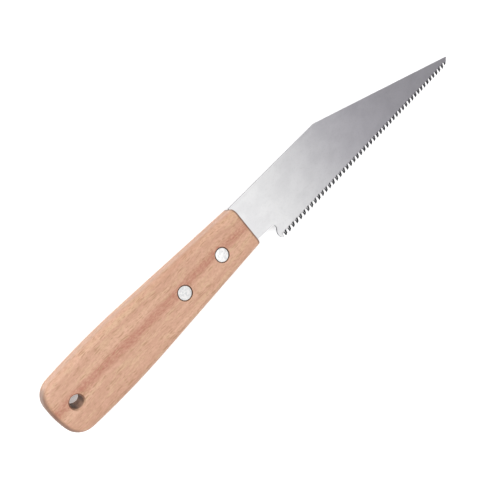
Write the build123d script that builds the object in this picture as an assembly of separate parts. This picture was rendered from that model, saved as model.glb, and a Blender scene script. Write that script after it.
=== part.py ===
"""A small plasterboard saw: a steel blade in a one-piece wooden handle, held by two cutler's rivets.

The saw lies on its side. +X runs towards the blade's tip, +Y towards the blade's straight back
and +Z up. The origin is at the middle of the handle's length, on the handle's axis, on the lower
side face, which is what the saw rests on. Lengths are in millimetres, angles in degrees.
"""

from build123d import *
import math
import os

# Handle
handle_length = 120.0
handle_thickness = 12.0
handle_front_half = 11.0  # half the height where the blade comes out
handle_taper = 2.6  # how much each long side spreads away from the axis
handle_taper_length = 68.0  # from the front to where the belly begins
handle_butt_half = 13.2
handle_butt_bulge = 2.0
handle_butt_corner = 9.0
handle_edge_round = 3.0
handle_front_round = 0.5

# Blade, with x measured from the handle's front face
blade_thickness = 1.0
blade_back_y = 11.3
blade_kink_x = 65.7  # where the straight back turns down towards the tip
blade_tip = (162.9, -15.85)
ricasso_y = (-9.9, -10.7)  # the plain lower edge, at the handle and at the notch
notch_x = 13.8
notch_round = 1.2
heel_lobe_top_y = -13.2
heel_lobe_bulge = 1.7
heel_corner_round = 0.6
kink_round = 1.5

# Teeth, cut for the pull stroke: upright faces towards the handle, sloping flanks behind
tooth_count = 49
tooth_pitch = 3.0
tooth_depth = 2.3
tooth_first_x = 15.15
tooth_line_y = -19.65
tooth_land = 0.3  # the flat left on each point
crown_drop = 0.55  # the gentle slope behind each point
gullet_floor = 0.95
flank_run = 0.55
heel_gullet_floor = 0.8  # the first gullet is a narrow slot
heel_gullet_run = 0.4
face_bevel = 0.4
flank_bevel = 1.2
heel_flank_bevel = 0.4
floor_bevel = 0.15
flank_rise = 0.35  # how far the flank's bevel runs up past the gullet's floor
point_trim = 0.55  # what the cut end of the blade takes off the last tooth

# Tang, which is narrower than the blade
tang_length = 62.0
tang_half = 7.0
tang_corner = 2.0
slot_clearance = 0.05

# Cutler's rivets: a solid shank pressed into a tube
rivet_x = {"front": 19.0, "rear": 44.05}  # back from the handle's front face
rivet_line_y = -0.75  # the line of the rivets and the tang, against the handle's axis
rivet_head_radius = 3.35
rivet_head_thickness = 1.65
rivet_crown = 0.15
rivet_rim_round = 0.15
rivet_tube_radius = 2.0
rivet_shank_radius = 1.3
rivet_bore_clearance = 0.02
rivet_hole_clearance = 0.05
rivet_end_gap = 0.8
counterbore_radius = 3.8
counterbore_depth = 1.7

# Hole for hanging the saw up
hang_hole_radius = 3.0
hang_hole_from_butt = 11.0
hang_hole_chamfer = 0.6

handle_front = handle_length / 2
handle_butt = -handle_length / 2
mid_plane = handle_thickness / 2
upright = (Align.CENTER, Align.CENTER, Align.MIN)


def from_front(x, y):
    """A point of the blade's side view, x from the handle's front face."""
    return (handle_front + x, y)


def plate(outline, thickness):
    """A flat plate of this outline, half its thickness each side of the saw's middle plane."""
    return Pos(0, 0, mid_plane) * extrude(outline, amount=thickness / 2, both=True)


def handle_outline():
    """Side view: straight spreading sides, a long shallow belly and a rounded butt."""
    belly_x = handle_front - handle_taper_length
    belly_half = handle_front_half + handle_taper_length * math.tan(math.radians(handle_taper))
    butt_x = handle_butt + handle_butt_bulge
    side = Line((handle_front, handle_front_half), (belly_x, belly_half))
    belly = TangentArc((belly_x, belly_half), (butt_x, handle_butt_half), tangent=side % 1)
    butt = ThreePointArc((butt_x, handle_butt_half), (handle_butt, 0), (butt_x, -handle_butt_half))
    front = Line((handle_front, -handle_front_half), (handle_front, handle_front_half))
    outline = make_face([side, belly, butt, mirror(belly, Plane.XZ), mirror(side, Plane.XZ), front])
    return fillet(outline.vertices().sort_by(Axis.X)[:2], handle_butt_corner)


def handle_blank():
    """The handle before it is slotted and bored, with its long edges and its front rounded."""
    block = extrude(handle_outline(), amount=handle_thickness)
    side_edges = block.edges().group_by(Axis.Z)[0] + block.edges().group_by(Axis.Z)[-1]
    front_edges = block.faces().sort_by(Axis.X)[-1].edges()
    long_edges = [edge for edge in side_edges if edge not in front_edges]
    block = fillet(long_edges, handle_edge_round)
    return fillet(block.faces().sort_by(Axis.X)[-1].edges(), handle_front_round)


def tang_slot():
    """The saw cut for the tang: open at the front and along the underside, closed at the top."""
    length = tang_length + slot_clearance
    depth = tang_half + slot_clearance + handle_length
    corner = (handle_front - length, rivet_line_y + tang_half + slot_clearance)
    outline = Pos(*corner) * Rectangle(length + 1, depth, align=(Align.MIN, Align.MAX))
    return plate(outline, blade_thickness + 2 * slot_clearance)


def on_rivet_line(x, z):
    """The place on the rivets' line at height z, x back from the handle's front face."""
    return Pos(handle_front - x, rivet_line_y, z)


def rivet_hole(x, radius):
    """The hole that a rivet's tube passes through."""
    return on_rivet_line(x, 0) * Cylinder(radius, handle_thickness, align=upright)


def counterbores(x):
    """The recesses for one rivet's two heads."""
    recess = Cylinder(counterbore_radius, counterbore_depth, align=upright)
    lower = on_rivet_line(x, 0) * recess
    upper = on_rivet_line(x, handle_thickness - counterbore_depth) * recess
    return [lower, upper]


def hang_hole():
    """The hole near the butt, with both rims eased."""
    rim = hang_hole_radius + hang_hole_chamfer
    ease = Cone(rim, hang_hole_radius, hang_hole_chamfer, align=upright)
    hole = Cylinder(hang_hole_radius, handle_thickness, align=upright)
    hole += [ease, mirror(ease, Plane.XY.offset(mid_plane))]
    return Pos(handle_butt + hang_hole_from_butt, 0, 0) * hole


def handle():
    body = handle_blank() - tang_slot() - hang_hole()
    for x in rivet_x.values():
        body -= rivet_hole(x, rivet_tube_radius + rivet_hole_clearance)
        body -= counterbores(x)
    return body


def blade_outline():
    """The blank before its gullets are cut: tang, shoulders, notch, heel lobe, point and back."""
    last_point = tooth_first_x + (tooth_count - 1) * tooth_pitch - point_trim
    heel = from_front(notch_x, tooth_line_y)
    lobe_top = from_front(notch_x, heel_lobe_top_y)
    lobe_middle = from_front(notch_x - heel_lobe_bulge, (heel_lobe_top_y + tooth_line_y) / 2)
    notch = from_front(notch_x, ricasso_y[1])
    kink = from_front(blade_kink_x, blade_back_y)
    tang_sides = [rivet_line_y + side * tang_half for side in (1, -1)]
    shoulders = [from_front(0, y) for y in tang_sides]
    tang_end = [from_front(-tang_length, y) for y in tang_sides]
    back_and_point = Polyline(
        shoulders[0],
        from_front(0, blade_back_y),
        kink,
        from_front(*blade_tip),
        from_front(last_point, tooth_line_y),
        heel,
    )
    lobe = ThreePointArc(heel, lobe_middle, lobe_top)
    notch_and_tang = Polyline(
        lobe_top,
        notch,
        from_front(0, ricasso_y[0]),
        shoulders[1],
        tang_end[1],
        tang_end[0],
        shoulders[0],
    )
    outline = make_face([back_and_point, lobe, notch_and_tang])
    rounds = [
        (kink, kink_round),
        (notch, notch_round),
        (lobe_top, heel_corner_round),
        *((corner, tang_corner) for corner in tang_end),
    ]
    for corner, radius in rounds:
        nearest = outline.vertices().sort_by_distance((*corner, 0))[0]
        outline = fillet(nearest, radius)
    return outline


def gullet_section(height, flank, bevel):
    """One section of a gullet, at this height from the blade's middle plane.

    The next tooth's upright face is at u = 0, the points' line at v = 0, and flank lists the
    other side's corners from the floor outwards. The section widens towards both sides of the
    blade, which grinds the bevels onto the teeth. bevel is the width of the flank's.
    """
    spread = abs(height) / (blade_thickness / 2)
    below = -1.0
    floor = tooth_depth + floor_bevel * spread
    face = face_bevel * spread
    slope = [(u - bevel * spread, v) for u, v in flank]
    slope[0] = (slope[0][0], floor + flank_rise * spread)
    corners = [(face, below), (face, floor), *slope, (slope[-1][0], below)]
    return Pos(0, 0, height) * make_face(Polyline(*corners, close=True))


def gullet(flank, bevel):
    """The cutter for one gullet."""
    reach = 0.6 * blade_thickness
    return loft([gullet_section(height, flank, bevel) for height in (-reach, 0, reach)], ruled=True)


def blade():
    blank = plate(blade_outline(), blade_thickness)
    tooth_flank = [
        (-gullet_floor, tooth_depth),
        (-gullet_floor - flank_run, crown_drop),
        (tooth_land - tooth_pitch, 0),
    ]
    heel_flank = [(-heel_gullet_floor, tooth_depth), (-heel_gullet_floor - heel_gullet_run, 0)]
    cutters = []
    for index in range(tooth_count):
        x = tooth_first_x + index * tooth_pitch
        cutter = gullet(tooth_flank, flank_bevel) if index else gullet(heel_flank, heel_flank_bevel)
        cutters.append(Pos(*from_front(x, tooth_line_y), mid_plane) * cutter)
    holes = [rivet_hole(x, rivet_tube_radius + rivet_hole_clearance) for x in rivet_x.values()]
    return blank - cutters - holes


def rivet_head():
    """A low-crowned round head standing on z = 0."""
    top = (0, rivet_head_thickness)
    rim = (rivet_head_radius, rivet_head_thickness - rivet_crown)
    crown = TangentArc(top, rim, tangent=(1, 0))
    profile = make_face([crown, Polyline(rim, (rivet_head_radius, 0), (0, 0), top)])
    profile = fillet(profile.vertices().sort_by_distance((*rim, 0))[0], rivet_rim_round)
    return revolve(Plane.XZ * profile, Axis.Z)


def rivet_male(x):
    """The upper half: a head with a solid shank that reaches down into the tube."""
    grip = handle_thickness - 2 * counterbore_depth
    shank = Cylinder(rivet_shank_radius, grip - rivet_end_gap, align=(Align.CENTER, Align.CENTER, Align.MAX))
    return on_rivet_line(x, handle_thickness - counterbore_depth) * (rivet_head() + shank)


def rivet_female(x):
    """The lower half: a head with the tube that the shank is pressed into."""
    grip = handle_thickness - 2 * counterbore_depth
    tube = Cylinder(rivet_tube_radius, grip - rivet_end_gap, align=upright)
    bore = Cylinder(rivet_shank_radius + rivet_bore_clearance, grip, align=upright)
    half = mirror(rivet_head(), Plane.XY) + tube - bore
    return on_rivet_line(x, counterbore_depth) * half


nodes = {"blade": blade(), "handle": handle()}
for place, x in rivet_x.items():
    nodes[f"{place}_rivet_male"] = rivet_male(x)
    nodes[f"{place}_rivet_female"] = rivet_female(x)

os.makedirs("parts", exist_ok=True)
for name, solid in nodes.items():
    export_step(solid, f"parts/{name}.step")
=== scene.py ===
import bpy
from mathutils import Matrix, Vector


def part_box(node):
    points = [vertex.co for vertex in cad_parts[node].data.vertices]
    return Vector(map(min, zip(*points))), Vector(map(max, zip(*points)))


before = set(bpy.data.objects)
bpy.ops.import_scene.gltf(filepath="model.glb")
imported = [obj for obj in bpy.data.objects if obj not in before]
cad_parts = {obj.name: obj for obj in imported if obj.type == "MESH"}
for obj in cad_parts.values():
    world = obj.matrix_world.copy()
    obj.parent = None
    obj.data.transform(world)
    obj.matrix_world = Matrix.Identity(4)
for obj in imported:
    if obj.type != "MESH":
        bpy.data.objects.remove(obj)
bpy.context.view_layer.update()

# Places in the row frame, in metres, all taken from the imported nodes.
handle_low, handle_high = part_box("handle")
handle_front = handle_high.x
mid_plane = (handle_low.z + handle_high.z) / 2
MM = 0.001

# Camera, at the photograph's angle. Its place is the offset from the front of the handle at blade height.
camera_offset = Vector((-0.11008, 0.08991, 0.27765))
view_direction = Vector((0.33634, -0.32196, -0.88499))
view_up = Vector((0.68109, 0.73216, -0.00752))
lens_mm = 46.8
sensor_mm = 36.0
clip_near = 0.005
clip_far = 20.0

# Light. The floor glows a little, like a light table, which keeps the shadows faint. The ceiling is
# dim, so that the soft box's reflection fades along the blade. The walls are bright for low views.
# Each light has its place, its target, its size and its power.
lights = {
    "soft_box": ((0.02, -0.24, 0.75), (0.02, -0.24, 0), (1.0, 1.0), 4.0),
    "key": ((-0.35, 0.52, 0.75), (0.05, 0, 0), (0.6, 0.6), 6.2),
}
floor_size = 4.0
floor_drop = 0.0001  # keeps the floor clear of the handle's lowest face
floor_glow = 0.3
wall_strength = 0.9
ceiling_strength = 0.355
wall_top = (0.1, 0.4)  # where the walls start to fade and where they end, as the sine of the elevation

# Wood. The heart streak runs along the handle, off its axis towards the blade's back, in mm.
streak_y = 1.8
streak_half = 2.7
grain_wander = 6.0
streak_wander = 5.0
wood_bump_mm = 0.05

# Steel. Its tint drifts between these distances from the handle's front, in mm.
tint_start = 20
tint_end = 100
steel_bump_mm = 0.006

# Rivets. The rear one is painted darker, as painted shade.
rivet_painted_shade = {"front": 1.0, "rear": 0.84}
rivet_bump_mm = 0.03


class Graph:
    """The node tree of one material. Lengths inside it are in millimetres."""

    def __init__(self, name):
        self.material = bpy.data.materials.new(name)
        self.material.use_nodes = True
        self.tree = self.material.node_tree
        self.shader = self.tree.nodes["Principled BSDF"]
        place = self.add("ShaderNodeTexCoord").outputs["Object"]
        self.here = self.vector("MULTIPLY", place, (1 / MM, 1 / MM, 1 / MM))

    def add(self, kind, inputs=None, **settings):
        """Adds a node. inputs maps a socket's name or number to a value or to another node's output."""
        node = self.tree.nodes.new(kind)
        for name, value in settings.items():
            setattr(node, name, value)
        for key, value in (inputs or {}).items():
            self.feed(node.inputs[key], value)
        return node

    def feed(self, socket, value):
        if isinstance(value, bpy.types.NodeSocket):
            self.tree.links.new(value, socket)
        else:
            socket.default_value = value

    def surface(self, **inputs):
        """Sets the shader's sockets, with spaces in their names written as underscores."""
        for name, value in inputs.items():
            self.feed(self.shader.inputs[name.replace("_", " ")], value)

    def vector(self, operation, a, b):
        return self.add("ShaderNodeVectorMath", {0: a, 1: b}, operation=operation).outputs[0]

    def math(self, operation, a, b=0.0):
        return self.add("ShaderNodeMath", {0: a, 1: b}, operation=operation).outputs[0]

    def split(self, vector):
        return self.add("ShaderNodeSeparateXYZ", {0: vector}).outputs

    def join(self, x, y, z):
        return self.add("ShaderNodeCombineXYZ", {0: x, 1: y, 2: z}).outputs[0]

    def scaled(self, vector, length, width):
        """Takes a feature of this length along X and this width across it to one unit."""
        return self.vector("MULTIPLY", vector, (1 / length, 1 / width, 1 / width))

    def noise(self, vector, detail=2.0, roughness=0.5):
        """Noise of about one unit in size, 0 to 1 with a mean of 0.5."""
        inputs = {"Vector": vector, "Scale": 1.0, "Detail": detail, "Roughness": roughness}
        return self.add("ShaderNodeTexNoise", inputs).outputs["Fac"]

    def step(self, value, low, high):
        """A smooth step from 0 at low to 1 at high."""
        inputs = {"Value": value, "From Min": low, "From Max": high}
        return self.add("ShaderNodeMapRange", inputs, interpolation_type="SMOOTHSTEP").outputs[0]

    def span(self, value, low, high):
        """Takes 0..1 to low..high."""
        return self.add("ShaderNodeMapRange", {"Value": value, "To Min": low, "To Max": high}).outputs[0]

    def mix(self, amount, a, b, blend="MIX"):
        """Mixes two colours."""
        node = self.add("ShaderNodeMix", data_type="RGBA", blend_type=blend)
        for key, value in ((0, amount), (6, a), (7, b)):
            self.feed(node.inputs[key], (*value, 1) if isinstance(value, tuple) else value)
        return node.outputs[2]

    def bump(self, height, depth_mm):
        inputs = {"Height": height, "Distance": depth_mm * MM, "Strength": 1.0}
        return self.add("ShaderNodeBump", inputs).outputs[0]


def beech():
    """Flat-sawn beech with the grain along X, a reddish heart streak, ray flecks and a satin lacquer."""
    g = Graph("beech")
    x, y, z = g.split(g.here)

    # The grain wanders a little along the handle.
    drift = g.math("SUBTRACT", g.noise(g.scaled(g.here, 30, 16)), 0.5)
    grain = g.join(x, g.math("ADD", y, g.math("MULTIPLY", drift, grain_wander)), z)

    rings = g.noise(g.scaled(grain, 60, 4), detail=3)
    fibres = g.noise(g.scaled(grain, 6, 1.1), detail=4, roughness=0.7)
    fine = g.noise(g.scaled(grain, 2.5, 0.2), detail=2, roughness=0.6)
    mottle = g.noise(g.scaled(grain, 1.5, 0.8), detail=2, roughness=0.6)
    blotches = g.noise(g.scaled(g.here, 4, 2.4), detail=3)
    tan = g.noise(g.scaled(grain, 9, 1.6), detail=3, roughness=0.6)

    color = g.mix(g.step(rings, 0.36, 0.66), (0.50, 0.275, 0.182), (0.605, 0.362, 0.247))
    color = g.mix(g.math("MULTIPLY", g.step(blotches, 0.4, 0.7), 0.45), color, (0.61, 0.34, 0.247))
    color = g.mix(g.math("MULTIPLY", g.step(tan, 0.5, 0.62), 0.6), color, (0.58, 0.385, 0.235))
    color = g.mix(g.math("MULTIPLY", g.step(fibres, 0.42, 0.74), 0.4), color, (0.44, 0.235, 0.14))
    color = g.mix(g.math("MULTIPLY", g.step(mottle, 0.42, 0.7), 0.5), color, (0.42, 0.225, 0.135))
    color = g.mix(g.math("MULTIPLY", g.step(fine, 0.45, 0.75), 0.3), color, (0.38, 0.19, 0.12))

    # Heart streak, broken up by the fibres
    centre = g.math("SUBTRACT", streak_y, g.math("MULTIPLY", drift, streak_wander))
    away = g.math("ABSOLUTE", g.math("SUBTRACT", y, centre))
    streak = g.math("SUBTRACT", 1.0, g.step(away, 0.2 * streak_half, 1.3 * streak_half))
    streak = g.math("MULTIPLY", streak, g.span(g.step(fibres, 0.3, 0.62), 0.6, 1.0))
    streak = g.math("MULTIPLY", streak, g.span(g.step(mottle, 0.35, 0.62), 0.5, 1.0))
    color = g.mix(g.math("MULTIPLY", streak, 0.95), color, (0.38, 0.145, 0.09))

    # Ray flecks: short dark dashes, one in some of the cells
    flecks = 0.0
    for length, width, share, depth in ((5.5, 0.8, 0.62, 0.7), (2.6, 0.6, 0.66, 0.6)):
        cells = g.add("ShaderNodeTexVoronoi", {"Vector": g.scaled(grain, length, width), "Scale": 1.0})
        chosen = g.step(g.split(cells.outputs["Color"])[0], share, share + 0.1)
        dash = g.math("SUBTRACT", 1.0, g.step(cells.outputs["Distance"], 0.15, 0.45))
        flecks = g.math("MAXIMUM", flecks, g.math("MULTIPLY", g.math("MULTIPLY", dash, chosen), depth))
    color = g.mix(flecks, color, (0.34, 0.18, 0.085))

    # The end grain is darker, as it drinks the lacquer. The strip along the front arris is painted shade,
    # where the rounded edge turns away from the light.
    normal_x = g.math("ABSOLUTE", g.split(g.add("ShaderNodeNewGeometry").outputs["Normal"])[0])
    front = handle_front / MM
    end_grain_and_arris_shade = g.math("MAXIMUM", g.step(normal_x, 0.25, 0.75), g.step(x, front - 1.3, front - 0.5))
    color = g.mix(g.math("MULTIPLY", end_grain_and_arris_shade, 0.8), color, (0.13, 0.06, 0.036))

    height = g.math("SUBTRACT", g.math("ADD", fibres, g.math("MULTIPLY", fine, 0.6)), flecks)
    g.surface(
        Base_Color=color,
        Roughness=g.span(fibres, 0.42, 0.62),
        Coat_Weight=0.15,
        Coat_Roughness=0.35,
        Normal=g.bump(height, wood_bump_mm),
    )
    return g.material


def saw_steel():
    """Satin rolled sheet steel, with sheared edges, and painted dark reflection on the bevels of the teeth,
    darkest on the bevels that face the tip.
    """
    g = Graph("saw_steel")
    across, _, up = g.split(g.add("ShaderNodeNewGeometry").outputs["True Normal"])
    facing = g.math("ABSOLUTE", up)
    plate = g.step(facing, 0.94, 0.98)
    sheared = g.math("SUBTRACT", 1.0, g.step(facing, 0.1, 0.3))

    brushed = g.noise(g.scaled(g.here, 16, 0.3), detail=3, roughness=0.7)
    clouds = g.noise(g.scaled(g.here, 12, 8), detail=4, roughness=0.6)
    speckle = g.noise(g.scaled(g.here, 0.9, 0.9), detail=3, roughness=0.7)

    face = g.mix(g.step(clouds, 0.35, 0.65), (0.582, 0.575, 0.605), (0.63, 0.623, 0.652))
    face = g.mix(g.math("MULTIPLY", g.step(speckle, 0.5, 0.75), 0.3), face, (0.45, 0.445, 0.46))
    front = handle_front / MM
    along = g.step(g.split(g.here)[0], front + tint_start, front + tint_end)
    tint = g.mix(along, (1.0, 1.008, 0.971), (1.01, 0.995, 1.025))
    face = g.mix(1.0, face, tint, blend="MULTIPLY")
    # Painted reflection: the tooth bevels get a dark colour standing in for dim surroundings mirrored in
    # them, darker still on the bevels that face the tip. The sheared edges and the brushing streaks are the
    # steel's own finish.
    bevel_shade_and_edges = g.mix(g.step(across, -0.2, 0.2), (0.07, 0.07, 0.078), (0.03, 0.03, 0.034))
    bevel_shade_and_edges = g.mix(sheared, bevel_shade_and_edges, (0.33, 0.33, 0.34))
    bevel_shade_and_edges = g.mix(g.span(brushed, 0.0, 0.5), bevel_shade_and_edges, (0.04, 0.04, 0.045))
    rough = g.math("ADD", g.span(brushed, 0.24, 0.38), g.math("MULTIPLY", g.math("SUBTRACT", 1, plate), 0.1))
    height = g.math("ADD", brushed, g.math("MULTIPLY", speckle, 0.5))
    color = g.mix(plate, bevel_shade_and_edges, face)
    g.surface(Base_Color=color, Metallic=1.0, Roughness=rough, Normal=g.bump(height, steel_bump_mm))
    return g.material


def rivet_metal(place, shade_factor):
    """Bright rivet metal, faced on a lathe, with a few dents from the hammer."""
    # The given factor darkens the whole colour: painted shade on the rear rivet.
    polished = tuple(shade_factor * part for part in (0.72, 0.71, 0.70))
    dented = tuple(shade_factor * part for part in (0.56, 0.565, 0.57))
    g = Graph(f"{place}_rivet_metal")
    low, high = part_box(f"{place}_rivet_male")
    centre = (low + high) / 2 / MM
    head_radius = (high.x - low.x) / 2 / MM
    out = g.vector("SUBTRACT", g.here, (centre.x, centre.y, 0))
    x, y, z = g.split(out)
    radius = g.math("SQRT", g.math("ADD", g.math("MULTIPLY", x, x), g.math("MULTIPLY", y, y)))
    turned = g.noise(g.join(g.math("MULTIPLY", radius, 5.0), 0.0, z), detail=3, roughness=0.7)
    dents = g.noise(g.scaled(g.here, 1.2, 1.2), detail=3, roughness=0.6)
    # The outer rim of each head is painted darker: painted shade beside the gap around the head.
    rim_shade = g.step(radius, 0.88 * head_radius, head_radius)
    color = g.mix(g.step(dents, 0.4, 0.62), polished, dented)
    color = g.mix(g.math("MULTIPLY", rim_shade, 0.5), color, (0.5, 0.48, 0.47))
    height = g.math("ADD", g.math("MULTIPLY", turned, 0.3), dents)
    rough = g.span(turned, 0.25, 0.42)
    g.surface(Base_Color=color, Metallic=1.0, Roughness=rough, Normal=g.bump(height, rivet_bump_mm))
    return g.material


def studio_white():
    g = Graph("studio_white")
    mottle = g.noise(g.scaled(g.here, 100, 100), detail=3)
    g.surface(
        Base_Color=g.mix(mottle, (0.90, 0.90, 0.90), (0.92, 0.92, 0.92)),
        Roughness=0.9,
        Specular_IOR_Level=0.1,
        Emission_Color=(1, 1, 1, 1),
        Emission_Strength=floor_glow,
    )
    return g.material


def finish_node(name, material):
    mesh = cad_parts[name].data
    mesh.materials.clear()
    mesh.materials.append(material)


def add_camera():
    data = bpy.data.cameras.new("camera")
    data.sensor_width = sensor_mm
    data.lens = lens_mm
    data.clip_start = clip_near
    data.clip_end = clip_far
    camera = bpy.data.objects.new("camera", data)
    bpy.context.collection.objects.link(camera)
    back = -view_direction.normalized()
    right = view_up.cross(back).normalized()
    up = back.cross(right)
    turn = Matrix((right, up, back)).transposed()
    place = Vector((handle_front, 0, mid_plane)) + camera_offset
    camera.matrix_world = Matrix.Translation(place) @ turn.to_4x4()
    bpy.context.scene.camera = camera


def add_light(name, place, target, size, power):
    """A soft box of this size, in metres, facing its target."""
    data = bpy.data.lights.new(name, "AREA")
    data.shape = "RECTANGLE"
    data.size, data.size_y = size
    data.energy = power
    light = bpy.data.objects.new(name, data)
    bpy.context.collection.objects.link(light)
    light.visible_camera = False
    aim = (Vector(target) - Vector(place)).to_track_quat("-Z", "Y")
    light.matrix_world = Matrix.Translation(place) @ aim.to_matrix().to_4x4()


def add_floor():
    mesh = bpy.data.meshes.new("floor")
    half = floor_size / 2
    corners = [(x * half, y * half, -floor_drop) for x, y in ((-1, -1), (1, -1), (1, 1), (-1, 1))]
    mesh.from_pydata(corners, [], [(0, 1, 2, 3)])
    floor = bpy.data.objects.new("floor", mesh)
    bpy.context.collection.objects.link(floor)
    mesh.materials.append(studio_white())


def add_world():
    world = bpy.data.worlds.new("world")
    world.use_nodes = True
    tree = world.node_tree
    direction = tree.nodes.new("ShaderNodeTexCoord").outputs["Generated"]
    split = tree.nodes.new("ShaderNodeSeparateXYZ")
    grade = tree.nodes.new("ShaderNodeMapRange")
    grade.interpolation_type = "SMOOTHSTEP"
    grade.inputs["From Min"].default_value, grade.inputs["From Max"].default_value = wall_top
    grade.inputs["To Min"].default_value = wall_strength
    grade.inputs["To Max"].default_value = ceiling_strength
    background = tree.nodes["Background"]
    background.inputs["Color"].default_value = (1, 1, 1, 1)
    tree.links.new(direction, split.inputs[0])
    tree.links.new(split.outputs["Z"], grade.inputs["Value"])
    tree.links.new(grade.outputs[0], background.inputs["Strength"])
    bpy.context.scene.world = world


finish_node("blade", saw_steel())
finish_node("handle", beech())
# Each rivet gets its own copy of the metal; the rear copy is darkened as painted shade.
for place, shade_factor in rivet_painted_shade.items():
    metal = rivet_metal(place, shade_factor)
    finish_node(f"{place}_rivet_male", metal)
    finish_node(f"{place}_rivet_female", metal)

add_floor()
add_world()
for name, settings in lights.items():
    add_light(name, *settings)
add_camera()
bpy.context.scene.view_settings.view_transform = "Standard"
